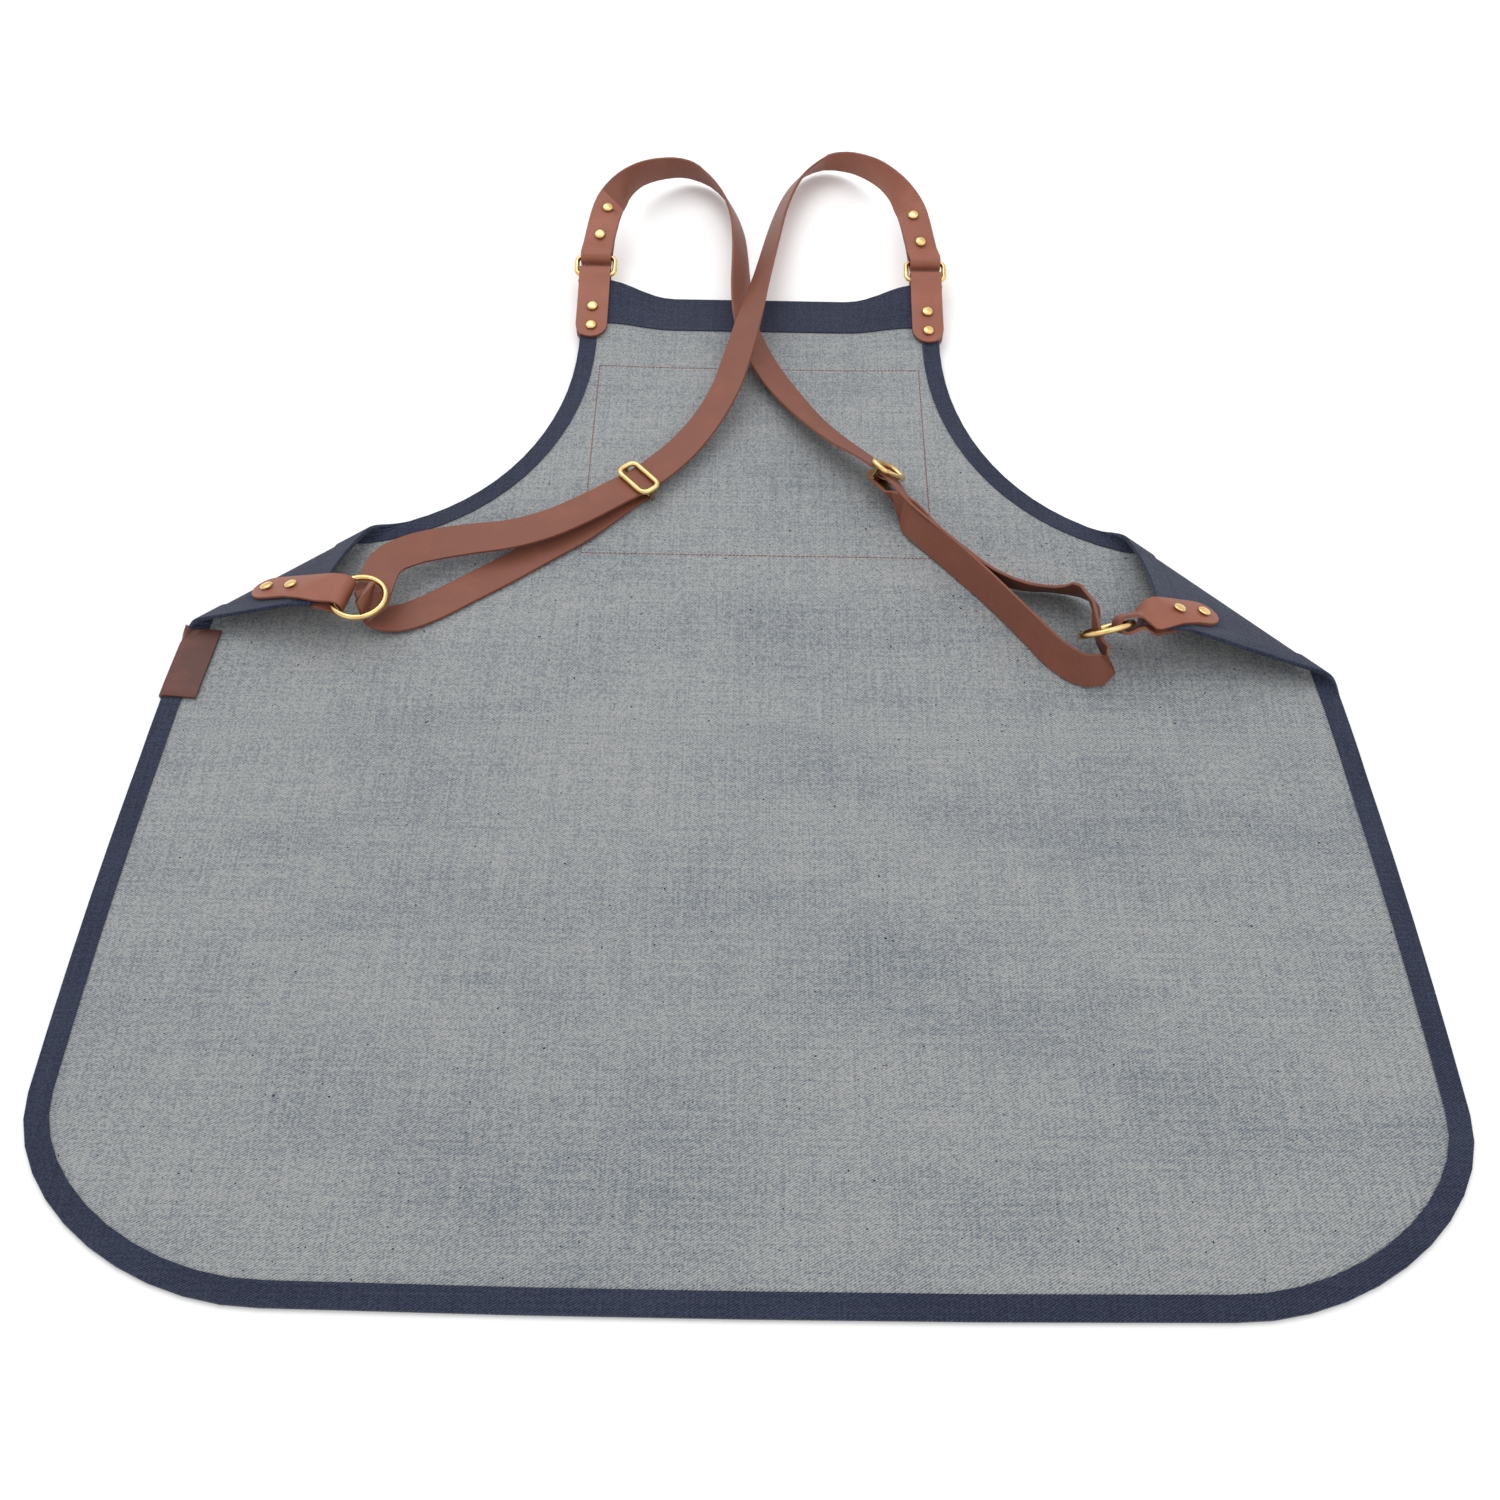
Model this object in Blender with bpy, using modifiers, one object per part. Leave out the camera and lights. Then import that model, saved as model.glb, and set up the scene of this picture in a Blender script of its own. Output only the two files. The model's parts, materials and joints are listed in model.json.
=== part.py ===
"""Denim butcher apron with crossed leather straps, laid out with its inside face up.

Run with: blender --background --python part.py
Metres, +Z up out of the inside face, +Y from the hem to the bib, +X across the skirt.
Every sewn piece is cut flat in plan and then laid: its waist corners roll over and its bib lifts.
"""

import math

import bmesh
import bpy
from mathutils import Matrix, Vector

# ---- Plan of the body panel, flat, measured from the middle of the hem ----
LENGTH = 0.803
SKIRT_HALF = 0.401
BIB_HALF = 0.1475
WAIST_HALF = 0.373
WAIST_RISE = 0.543
ARMHOLE_TOP_PULL = Vector((-0.0265, -0.153))
ARMHOLE_WAIST_PULL = Vector((-0.179, -0.038))
HEM_CORNER_RISE = 0.115
HEM_CORNER_RUN = 0.150
BIB_RISE = 0.0075
BIB_STRAIGHT = 0.085
WAIST_ROUND = 0.009

# ---- Cloth ----
DENIM = 0.0009
TAPE = 0.0007
BINDING_WIDTH = 0.0127
BINDING_END = 0.0025
BIB_HEM_DEPTH = 0.038
PANEL_WIDTH = 0.254
PANEL_HEIGHT = 0.200
PANEL_RISE = 0.522
PANEL_CORNER = 0.008
POCKET_HEIGHT = 0.170

# ---- Leather ----
STRAP_WIDTH = 0.0245
STRAP_THICK = 0.0021
TAB_WIDTH = 0.0250
TAB_THICK = 0.0021
TAB_LENGTH = 0.066
TAB_SPREAD = 0.014
WAIST_THROAT = {1: 0.0230, -1: 0.0140}
SHOULDER_THROAT = 0.0045
SHOULDER_TAB_X = 0.1345
PATCH_LENGTH = 0.058
PATCH_REACH = 0.0225
PATCH_THICK = 0.0014
PATCH_TOP_RISE = 0.447

# ---- Brass ----
WIRE = 0.0040
WAIST_RING_INNER = 0.03175
SHOULDER_RING_INNER = 0.0268
SHOULDER_RING_DEPTH = 0.0130
RIVET_CAP = 0.0092
RIVET_POST = 0.0030
RIVET_DOME = 0.0016
RIVET_PITCH = 0.0195
RIVET_END = 0.0110
SLIDER_INNER = 0.0268
SLIDER_DEPTH = 0.0190
SLIDER_WIRE = 0.0040
SLIDER_BAR = 0.0030
SLIDER_SLACK = 0.0025

# ---- Clearances ----
GAP = 0.0003
RIVET_HOLE_GAP = 0.0002
RIVET_EASE = 0.0008
TAB_EASE = 0.0005

# ---- How the cloth lies ----
ROLL_RADIUS = 0.0060
DROOP_RADIUS = 0.0160
DROOP_TURN = {1: math.radians(38), -1: math.radians(22)}
DROOP_BEFORE_CORNER = 0.017
BIB_LIFT = 0.0135
BIB_LIFT_RUN = 0.120
BIB_LEVEL = 0.070
LIFT_FULL = 0.122
LIFT_CUTS = 6
TAB_SPLAY = {1: math.radians(12), -1: math.radians(2)}
TAB_ALONG = {1: 0.009, -1: 0.013}
RISE_START = 0.325
RISE_RUN = 0.070
RISE_CUTS = 5
BIB_CUTS = 9
ROLL_CUTS = 12
SEAT_CUTS = 4
DROOP_CUTS = 5
COLLECTION = "Butcher apron"

TAB_TWIST = {1: math.radians(-58), -1: 0.0}
TWIST_END = 0.0080
TWIST_START = 0.0030

# Heights above the middle of the denim, and of that middle above the table.
DENIM_FACE = DENIM / 2
LAYER_LOW = DENIM_FACE + GAP
TAPE_FACE = LAYER_LOW + TAPE
FACING_FACE = LAYER_LOW + DENIM
PATCH_LOW = TAPE_FACE + GAP
TAB_LOW = FACING_FACE + GAP + TAB_EASE
TAB_HEIGHT = TAB_LOW + TAB_THICK / 2
TAB_FACE = TAB_LOW + TAB_THICK
BODY_HEIGHT = PATCH_LOW + PATCH_THICK

RING_PLAY = 0.0025
HOLE_RADIUS = RIVET_POST / 2 + RIVET_HOLE_GAP
LOOP_RADIUS = WIRE / 2 + RING_PLAY + TAB_THICK / 2
WAIST_RING_RADIUS = WAIST_RING_INNER / 2 + WIRE / 2
RING_CHORD = math.sqrt(WAIST_RING_RADIUS**2 - (TAB_WIDTH / 2) ** 2)
STRAP_LAYER = STRAP_THICK + GAP
STRAP_LOOP_RADIUS = WIRE / 2 + RING_PLAY + STRAP_THICK / 2
STRAP_IN_RING = 0.0060
STRAP_LAP_START = 0.004
STRAP_LAP = 0.041
STRAP_RIVETS = (0.0100, 0.0300)
SPACING = 0.0075
SLIDER_WRAP_RADIUS = SLIDER_BAR / 2 + GAP + STRAP_THICK / 2
SLIDER_WRAP = STRAP_LAYER + SLIDER_WRAP_RADIUS

# Each waist corner: the line its roll starts on, from the armhole to the side, and the angle it turns.
CREASES = {
    1: (Vector((0.2500, 0.5440)), Vector((0.3686, 0.4239)), math.radians(157)),
    -1: (Vector((-0.2735, 0.5300)), Vector((-0.3675, 0.4514)), math.radians(157)),
}
CREASE_REACH = {1: 0.225, -1: 0.225}

COLOURS = {
    "denim_inside": ((0.300, 0.310, 0.325, 1), 0.95, 0.0),
    "denim_face": ((0.040, 0.045, 0.065, 1), 0.92, 0.0),
    "leather": ((0.225, 0.090, 0.062, 1), 0.50, 0.0),
    "dark_leather": ((0.075, 0.028, 0.020, 1), 0.50, 0.0),
    "brass": ((0.780, 0.560, 0.250, 1), 0.22, 1.0),
}

# ---- Strap routes on the table: x, y, z and the turn of the strap about its run, in degrees ----
LEFT_STRAP = (
    (-0.1335, 0.8450, 0.0270, 0), (-0.1310, 0.8600, 0.0320, -2), (-0.1275, 0.8770, 0.0365, -10),
    (-0.1215, 0.8960, 0.0365, -48), (-0.1130, 0.9190, 0.0330, -78), (-0.0990, 0.9410, 0.0280, -98),
    (-0.0790, 0.9560, 0.0225, -108), (-0.0610, 0.9610, 0.0172, -114), (-0.0470, 0.9540, 0.0142, -117),
    (-0.0360, 0.9390, 0.0132, -117), (-0.0270, 0.9180, 0.0132, -116), (-0.0200, 0.8900, 0.0132, -117),
    (-0.0170, 0.8570, 0.0140, -120), (-0.0160, 0.8280, 0.0150, -125), (-0.0150, 0.8000, 0.0155, -132),
    (-0.0120, 0.7700, 0.0145, -142), (-0.0060, 0.7450, 0.0122, -153), (0.0040, 0.7180, 0.0108, -160),
    (0.0200, 0.6860, 0.0115, -160), (0.0400, 0.6520, 0.0150, -152), (0.0600, 0.6250, 0.0190, -148),
    (0.0780, 0.6070, 0.0210, -142),
)
LEFT_SLIDER = (0.0930, 0.5900, 0.0215, -136)
RIGHT_STRAP = (
    (0.1325, 0.8430, 0.0270, 0), (0.1295, 0.8570, 0.0320, 2), (0.1260, 0.8740, 0.0365, 10),
    (0.1205, 0.8940, 0.0365, 46), (0.1125, 0.9200, 0.0330, 74), (0.1000, 0.9460, 0.0280, 90),
    (0.0830, 0.9660, 0.0225, 104), (0.0680, 0.9770, 0.0172, 114), (0.0550, 0.9790, 0.0142, 122),
    (0.0430, 0.9710, 0.0134, 126), (0.0320, 0.9550, 0.0134, 125), (0.0230, 0.9320, 0.0136, 124),
    (0.0150, 0.9000, 0.0145, 124), (0.0090, 0.8650, 0.0165, 127), (0.0030, 0.8250, 0.0210, 131),
    (-0.0030, 0.7850, 0.0275, 139), (-0.0090, 0.7480, 0.0300, 150), (-0.0150, 0.7180, 0.0280, 158),
    (-0.0250, 0.6800, 0.0215, 163), (-0.0390, 0.6480, 0.0170, 168), (-0.0560, 0.6200, 0.0148, 176),
    (-0.0730, 0.5990, 0.0142, 180),
)
RIGHT_SLIDER = (-0.0870, 0.5850, 0.0142, 180)
# From the sliders to the waist rings and back: the outer run, then the return run.
LEFT_STRAP_OUT = (
    (0.1020, 0.5770, 0.0195, -128), (0.1130, 0.5570, 0.0172, -116), (0.1290, 0.5350, 0.0166, -108),
    (0.1480, 0.5130, 0.0164, -106), (0.1660, 0.4970, 0.0160, -112), (0.1860, 0.4885, 0.0155, -120),
    (0.2060, 0.4865, 0.0152, -124), (0.2190, 0.4835, 0.0175, -122), (0.2270, 0.4725, 0.0245, -118),
)
LEFT_STRAP_BACK = (
    (0.2360, 0.4180, 0.0190, -110), (0.2200, 0.4140, 0.0165, -110), (0.2020, 0.4270, 0.0162, -107),
    (0.1840, 0.4520, 0.0164, -104), (0.1640, 0.4800, 0.0164, -104), (0.1455, 0.5040, 0.0165, -106),
    (0.1255, 0.5285, 0.0166, -108), (0.1085, 0.5520, 0.0170, -116),
)
RIGHT_STRAP_OUT = (
    (-0.1030, 0.5725, 0.0145, 180), (-0.1260, 0.5540, 0.0155, 182), (-0.1500, 0.5380, 0.0165, 184),
    (-0.1750, 0.5270, 0.0178, 186), (-0.2000, 0.5205, 0.0195, 190), (-0.2220, 0.5140, 0.0210, 193),
    (-0.2410, 0.5040, 0.0240, 193), (-0.2560, 0.4880, 0.0265, 190),
)
RIGHT_STRAP_BACK = (
    (-0.2620, 0.4560, 0.0110, 12), (-0.2450, 0.4570, 0.0070, 3), (-0.2250, 0.4680, 0.0058, 0),
    (-0.2020, 0.4850, 0.0056, 0), (-0.1780, 0.5030, 0.0056, 0), (-0.1520, 0.5240, 0.0058, 0),
    (-0.1260, 0.5450, 0.0062, 1),
)


def smooth(x):
    x = min(max(x, 0.0), 1.0)
    return x * x * (3 - 2 * x)


def bezier(points, steps):
    """Points along a cubic, without its last one."""
    a, b, c, d = points
    found = []
    for i in range(steps):
        t = i / steps
        found.append((1 - t) ** 3 * a + 3 * (1 - t) ** 2 * t * b + 3 * (1 - t) * t * t * c + t**3 * d)
    return found


# ---- The flat plan ----


def bib_top(x):
    """Height of the bib's top edge in the plan: straight, and rising to its corners."""
    return LENGTH + BIB_RISE * smooth((abs(x) - BIB_STRAIGHT) / (BIB_HALF - BIB_STRAIGHT))


def bib_edge():
    """The top edge between its corners, from right to left."""
    right = [Vector((BIB_HALF + (BIB_STRAIGHT - BIB_HALF) * i / 5, 0)) for i in range(1, 6)]
    return [Vector((p.x, bib_top(p.x))) for p in right + mirrored(right)[::-1]]


def armhole(steps):
    """The right armhole, from the top of the bib to the waist corner."""
    top, waist = Vector((BIB_HALF, bib_top(BIB_HALF))), Vector((WAIST_HALF, WAIST_RISE))
    curve = (top, top + ARMHOLE_TOP_PULL, waist + ARMHOLE_WAIST_PULL, waist)
    return bezier(curve, steps) + [waist]


def side_and_hem(steps):
    """The right side from the waist corner down, then its hem corner, to the middle of the hem."""
    waist, foot = Vector((WAIST_HALF, WAIST_RISE)), Vector((SKIRT_HALF, HEM_CORNER_RISE))
    hem = Vector((SKIRT_HALF - HEM_CORNER_RUN, 0.002))
    side = (waist, waist + Vector((0.020, -0.110)), foot + Vector((0, 0.140)), foot)
    corner = (foot, foot - Vector((0, HEM_CORNER_RISE / 2)), hem + Vector((HEM_CORNER_RUN / 2, 0)), hem)
    return bezier(side, steps) + bezier(corner, steps) + [hem, Vector((0.120, 0.0004)), Vector((0, 0))]


def without_tail(path, length):
    """The path, shortened by this much at its last point."""
    while length > (path[-1] - path[-2]).length:
        length -= (path[-1] - path[-2]).length
        path = path[:-1]
    return path[:-1] + [path[-1] + (path[-2] - path[-1]).normalized() * length]


def trimmed(path, start, end):
    return without_tail(without_tail(path[::-1], start)[::-1], end)


def mirrored(path):
    return [Vector((-p.x, p.y)) for p in path]


def rounded_corner(before, after, radius):
    """Two paths that meet at a corner, joined by an arc that starts this far from it."""
    corner = before[-1]
    first, last = trimmed(before, 0, radius), trimmed(after, radius, 0)
    bend = []
    for i in range(1, 5):
        t = i / 5
        bend.append((1 - t) ** 2 * first[-1] + 2 * t * (1 - t) * corner + t * t * last[0])
    return first + bend + last


def body_outline():
    """The whole edge of the body panel, anticlockwise from the middle of the hem."""
    right = rounded_corner(armhole(26), side_and_hem(12), WAIST_ROUND)[::-1]
    left = mirrored(right)[::-1]
    return right + bib_edge() + left[:-1]


def inset(path, depth):
    """The path moved to its left by this much."""
    moved = []
    for i, point in enumerate(path):
        ahead = path[min(i + 1, len(path) - 1)] - path[max(i - 1, 0)]
        moved.append(point + Vector((-ahead.y, ahead.x)).normalized() * depth)
    return moved


def risen_past(height, path):
    """The rest of a rising path, from this height on."""
    for i, (a, b) in enumerate(zip(path, path[1:])):
        if a.y <= height < b.y:
            return [a.lerp(b, (height - a.y) / (b.y - a.y))] + path[i + 1 :]
    return path


def circle(centre, radius, steps=12):
    turns = [2 * math.pi * i / steps for i in range(steps)]
    return [centre + radius * Vector((math.cos(t), math.sin(t))) for t in turns]


# ---- How the cloth lies on the table ----


def rest_height(x, y):
    """Height of the middle of the denim above the table."""
    step = BODY_HEIGHT - TAPE_FACE
    height = TAPE_FACE + step * smooth((y - RISE_START) / RISE_RUN)
    past = max(y - (LENGTH - BIB_LIFT_RUN), 0.0)
    reach = min(past, BIB_LIFT_RUN)
    slope = 2 * BIB_LIFT / BIB_LIFT_RUN
    lift = BIB_LIFT * (reach / BIB_LIFT_RUN) ** 2 + slope * (past - reach)
    return height + lift * smooth((abs(x) - BIB_LEVEL) / (LIFT_FULL - BIB_LEVEL))


def rest_normal(x, y):
    step = 1e-4
    across = rest_height(x + step, y) - rest_height(x - step, y)
    along = rest_height(x, y + step) - rest_height(x, y - step)
    return Vector((-across, -along, 2 * step)).normalized()


def crease_frame(side):
    start, end, turn = CREASES[side]
    along = (end - start).normalized()
    return start, side * Vector((-along.y, along.x)), turn


def waist_corner(side):
    return Vector((side * WAIST_HALF, WAIST_RISE))


def droop_start(side):
    start, out, _ = crease_frame(side)
    return (waist_corner(side) - start).dot(out) - DROOP_BEFORE_CORNER


def rolled(side, d, h):
    """Where a point d past the start of the roll ends: its distance out, its height and the cloth's angle."""
    turn = crease_frame(side)[2]
    angle = min(d / ROLL_RADIUS, turn)
    out, up = ROLL_RADIUS * math.sin(angle), ROLL_RADIUS * (1 - math.cos(angle))
    straight = max(min(d, droop_start(side)) - turn * ROLL_RADIUS, 0.0)
    out, up = out + straight * math.cos(angle), up + straight * math.sin(angle)
    bend = min(max(d - droop_start(side), 0.0) / DROOP_RADIUS, DROOP_TURN[side])
    out += DROOP_RADIUS * (math.sin(angle + bend) - math.sin(angle))
    up += DROOP_RADIUS * (math.cos(angle) - math.cos(angle + bend))
    angle += bend
    rest = max(d - droop_start(side) - DROOP_TURN[side] * DROOP_RADIUS, 0.0)
    out, up = out + rest * math.cos(angle), up + rest * math.sin(angle)
    return out - h * math.sin(angle), up + h * math.cos(angle)


def lay(p, h):
    """The flat plan's point p, at height h from the middle of the denim, as it lies on the table."""
    side = 1 if p.x > 0 else -1
    start, out, _ = crease_frame(side)
    past = (p - start).dot(out)
    if past > 0 and side * p.x > CREASE_REACH[side]:
        foot = p - out * past
        away, up = rolled(side, past, h)
        return Vector((*(foot + out * away), rest_height(*foot) + up))
    return Vector((p.x, p.y, rest_height(*p))) + rest_normal(*p) * h


# ---- Flat pieces ----


def flat_solid(loops, low, high):
    """A plate between two heights, from an outline and the outlines of its holes."""
    bm = bmesh.new()
    for loop in loops:
        verts = [bm.verts.new((p.x, p.y, low)) for p in loop]
        for i, vert in enumerate(verts):
            bm.edges.new((vert, verts[i - 1]))
    bmesh.ops.triangle_fill(bm, edges=bm.edges[:], use_beauty=True)
    grown = bmesh.ops.extrude_face_region(bm, geom=bm.faces[:])
    top = [v for v in grown["geom"] if isinstance(v, bmesh.types.BMVert)]
    bmesh.ops.translate(bm, verts=top, vec=(0, 0, high - low))
    bmesh.ops.recalc_face_normals(bm, faces=bm.faces[:])
    return bm


def cut_across(bm, point, normal, wanted):
    """Adds a line of edges where the plane crosses the faces that are wanted."""
    faces = [f for f in bm.faces if wanted(f)]
    edges = {e for f in faces for e in f.edges}
    verts = {v for f in faces for v in f.verts}
    geometry = [*verts, *edges, *faces]
    bmesh.ops.bisect_plane(bm, geom=geometry, dist=1e-6, plane_co=(*point, 0), plane_no=(*normal, 0))


def cut_where_it_bends(bm):
    for i in range(RISE_CUTS + 1):
        line = (0, RISE_START + RISE_RUN * i / RISE_CUTS)
        cut_across(bm, line, (0, 1), lambda f: True)
    for i in range(BIB_CUTS):
        line = (0, LENGTH - BIB_LIFT_RUN * (1 - i / BIB_CUTS))
        cut_across(bm, line, (0, 1), lambda f: True)
    for i in range(LIFT_CUTS + 1):
        for side in CREASES:
            line = (side * (BIB_LEVEL + (LIFT_FULL - BIB_LEVEL) * i / LIFT_CUTS), 0)
            cut_across(bm, line, (1, 0), lambda f: f.calc_center_median().y > LENGTH - BIB_LIFT_RUN)
    for side in CREASES:
        start, out, turn = crease_frame(side)
        cut_across(bm, (side * CREASE_REACH[side], 0), (1, 0), lambda f: f.calc_center_median().y > 0.4)

        def in_corner(face):
            within = side * CREASE_REACH[side] - side * 1e-5
            return all(side * (v.co.x - within) >= 0 for v in face.verts)

        roll = [turn * ROLL_RADIUS * i / ROLL_CUTS for i in range(ROLL_CUTS + 1)]
        droop_run = DROOP_RADIUS * DROOP_TURN[side] / DROOP_CUTS
        droop = [droop_start(side) + droop_run * i for i in range(DROOP_CUTS + 1)]
        for past in roll + droop:
            cut_across(bm, start + out * past, out, in_corner)


def finished(name, bm, look):
    """The mesh as a named object with its own material."""
    mesh = bpy.data.meshes.new(name)
    bm.to_mesh(mesh)
    bm.free()
    return registered(bpy.data.objects.new(name, mesh), look)


def registered(piece, look):
    colour, roughness, metallic = COLOURS[look]
    material = bpy.data.materials.new(piece.name)
    material.use_nodes = True
    shader = material.node_tree.nodes["Principled BSDF"]
    shader.inputs["Base Color"].default_value = colour
    shader.inputs["Roughness"].default_value = roughness
    shader.inputs["Metallic"].default_value = metallic
    piece.data.materials.append(material)
    bpy.data.collections[COLLECTION].objects.link(piece)
    return piece


def laid_piece(name, loops, low, high, look):
    """A flat piece of the apron, cut to its outline and laid on the table."""
    bm = flat_solid(loops, low, high)
    cut_where_it_bends(bm)
    for vert in bm.verts:
        vert.co = lay(Vector(vert.co[:2]), vert.co.z)
    return finished(name, bm, look)



def folded_edge(name, path, reach, low, thick, look, holes=()):
    """A strip folded over an edge: its two leaves start this far from the middle of the denim."""
    high = low + thick
    nose = low - DENIM_FACE
    section = [(reach, high), (-nose - 0.4 * thick, high), (-nose - thick, 0.5 * high)]
    section += [(a, -h) for a, h in reversed(section)]
    section += [(reach, -low), (-nose, -low), (-nose, low), (reach, low)]
    bm = bmesh.new()
    rings = []
    for depth, height in section:
        rings.append([bm.verts.new((p.x, p.y, height)) for p in inset(path, depth)])
    for i, ring in enumerate(rings):
        before = rings[i - 1]
        for j in range(len(path) - 1):
            bm.faces.new((before[j], before[j + 1], ring[j + 1], ring[j]))
    bm.faces.new([ring[0] for ring in rings])
    bm.faces.new([ring[-1] for ring in rings])
    bmesh.ops.recalc_face_normals(bm, faces=bm.faces[:])
    if holes:
        bm = drilled(bm, holes)
    cut_where_it_bends(bm)
    for vert in bm.verts:
        vert.co = lay(Vector(vert.co[:2]), vert.co.z)
    return finished(name, bm, look)


def drilled(bm, holes):
    """The mesh with a round hole straight down through it at each place."""
    mesh = bpy.data.meshes.new("undrilled")
    bm.to_mesh(mesh)
    bm.free()
    piece = bpy.data.objects.new("undrilled", mesh)
    bpy.context.scene.collection.objects.link(piece)
    cutters = []
    for centre in holes:
        bits = bmesh.new()
        bmesh.ops.create_cone(
            bits, cap_ends=True, segments=12, radius1=HOLE_RADIUS, radius2=HOLE_RADIUS, depth=0.03
        )
        bit_mesh = bpy.data.meshes.new("bit")
        bits.to_mesh(bit_mesh)
        bits.free()
        bit = bpy.data.objects.new("bit", bit_mesh)
        bit.location = (*centre, 0)
        bpy.context.scene.collection.objects.link(bit)
        cutters.append(bit)
        cut = piece.modifiers.new("hole", "BOOLEAN")
        cut.operation, cut.solver, cut.object = "DIFFERENCE", "EXACT", bit
    bpy.context.view_layer.update()
    graph = bpy.context.evaluated_depsgraph_get()
    found = bmesh.new()
    found.from_mesh(piece.evaluated_get(graph).to_mesh())
    for extra in [piece, *cutters]:
        bpy.data.objects.remove(extra)
    return found


# ---- Strips that bend: tabs and straps ----


def strip(width, marks, holes, thick, rounded=(), lanes=()):
    """A flat strip along X with an edge across it at each mark, some holes, and round ends if given."""
    half = width / 2
    bm = bmesh.new()
    spans, last = [], 0
    for i in range(1, len(marks)):
        held = any(marks[last] - HOLE_RADIUS < h < marks[i] + HOLE_RADIUS for h in holes)
        blunt = rounded and (marks[i - 1] < half or marks[-1] - marks[i] < half - 1e-9)
        if not (held and marks[i] < marks[-1] and holds_edge(marks[i], holes)) and not (
            blunt and i < len(marks) - 1
        ):
            spans.append((last, i))
            last = i
    if last < len(marks) - 1:
        spans.append((last, len(marks) - 1))
    for first, second in spans:
        a, b = marks[first], marks[second]
        corners = [Vector((a, -half)), Vector((b, -half)), Vector((b, half)), Vector((a, half))]
        inside = [circle(Vector((h, 0)), HOLE_RADIUS, 10) for h in holes if a < h < b]
        if rounded and first == 0:
            corners = corners[1:3] + list(rounded)
        if rounded and second == len(marks) - 1:
            corners = [corners[-1], corners[0]] + [Vector((b - p.x, -p.y)) for p in rounded]
        before = set(bm.edges)
        for loop in [corners, *inside]:
            verts = [bm.verts.new((p.x, p.y, -thick / 2)) for p in loop]
            for i, vert in enumerate(verts):
                bm.edges.new((vert, verts[i - 1]))
        fresh = [e for e in bm.edges if e not in before]
        if len(fresh) == 4:
            bmesh.ops.contextual_create(bm, geom=fresh)
        else:
            bmesh.ops.triangle_fill(bm, edges=fresh, use_beauty=True)
    bmesh.ops.remove_doubles(bm, verts=bm.verts[:], dist=1e-7)
    grown = bmesh.ops.extrude_face_region(bm, geom=bm.faces[:])
    top = [v for v in grown["geom"] if isinstance(v, bmesh.types.BMVert)]
    bmesh.ops.translate(bm, verts=top, vec=(0, 0, thick))
    bmesh.ops.recalc_face_normals(bm, faces=bm.faces[:])
    for first, second in spans:
        for cut in marks[first + 1 : second]:
            cut_across(bm, (cut, 0), (1, 0), lambda f, c=cut: near(f, c))
    for lane in lanes:
        cut_across(bm, (0, lane), (0, 1), lambda f: True)
    return bm


def near(face, cut):
    xs = [v.co.x for v in face.verts]
    return min(xs) < cut < max(xs)


def holds_edge(mark, holes):
    """Whether an edge across the strip here would meet a hole."""
    return any(abs(mark - h) < HOLE_RADIUS + 2e-4 for h in holes)


def loop_section(radius, layer, length):
    """One side of a strip folded round a bar at 0: how far along and how high, from its end to its fold."""
    found = [(-length, layer), (-1.75 * TAB_SPREAD, layer), (-1.5 * TAB_SPREAD, layer)]
    found += [(-1.25 * TAB_SPREAD, layer), (-TAB_SPREAD, layer)]
    for i in range(1, 4):
        t = i / 4
        found.append((-TAB_SPREAD * (1 - t), layer + (radius - layer) * smooth(t)))
    for i in range(4):
        turn = math.radians(90 - 22.5 * i)
        found.append((radius * math.cos(turn), radius * math.sin(turn)))
    return found


def lengths_along(points):
    total, found = 0.0, [0.0]
    for a, b in zip(points, points[1:]):
        total += (Vector(b) - Vector(a)).length
        found.append(total)
    return found


def normals_along(points):
    """Unit vectors to the left of a plane path, at its points."""
    found = []
    for i in range(len(points)):
        ahead = Vector(points[min(i + 1, len(points) - 1)]) - Vector(points[max(i - 1, 0)])
        found.append(Vector((-ahead.y, ahead.x)).normalized())
    return found


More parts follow.
